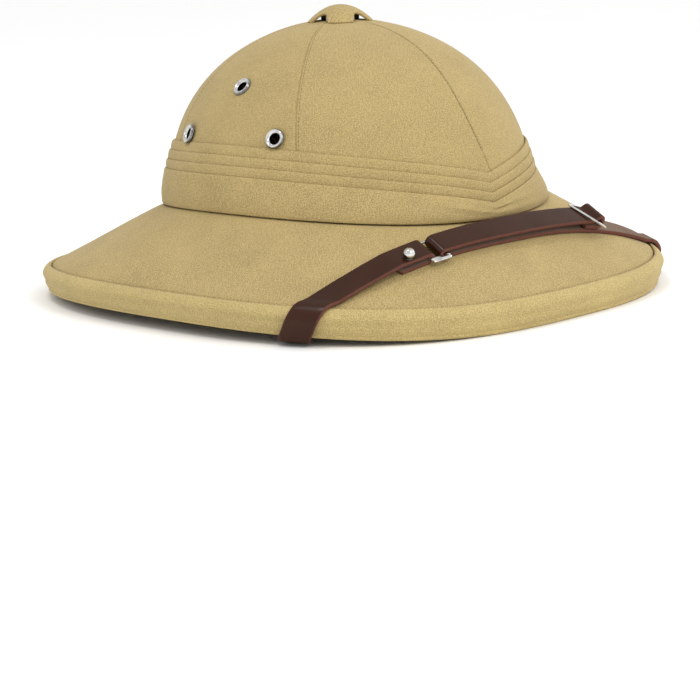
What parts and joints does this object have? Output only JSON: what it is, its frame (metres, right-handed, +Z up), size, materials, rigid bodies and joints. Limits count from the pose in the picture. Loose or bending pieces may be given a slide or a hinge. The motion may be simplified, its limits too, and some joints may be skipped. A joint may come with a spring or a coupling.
{
  "type": "pith helmet",
  "caption": "Cloth-covered sun helmet with a domed crown, wide sloping brim, pleated band, ventilator cap, eyelets and a leather chin strap over the brim.",
  "frame": {"origin": "centre of the whole hat's outline, on the level that its rim stands on", "axes": "+Z up through the crown, -Y the hat's front, -X the wearer's right"},
  "size_m": [0.3014, 0.3414, 0.1589],
  "materials": {
    "crown_cloth": "khaki cotton drill stretched over the shell",
    "brim_cloth": "khaki cotton drill stretched over the shell",
    "binding_cloth": "khaki cotton drill rolled round the edge",
    "band_cloth": "khaki cotton drill, pleated",
    "cap_cloth": "khaki cotton drill",
    "strap_leather": "smooth dark brown leather with raw cut edges",
    "nickel": "polished nickel plate"
  },
  "bodies": {
    "root": {"crown": "crown_cloth", "brim": "brim_cloth", "rim_binding": "binding_cloth", "puggaree": "band_cloth", "vent_cap": "cap_cloth", "vent_collar": "nickel", "eyelet_right_1": "nickel", "eyelet_right_2": "nickel", "eyelet_right_3": "nickel", "eyelet_left_1": "nickel", "eyelet_left_2": "nickel", "eyelet_left_3": "nickel", "strap_short": "strap_leather", "strap_long": "strap_leather", "strap_ring": "nickel", "strap_slider": "nickel", "ball_stud": "nickel", "strap_hook_right": "nickel", "strap_hook_left": "nickel"}
  },
  "joints": []
}
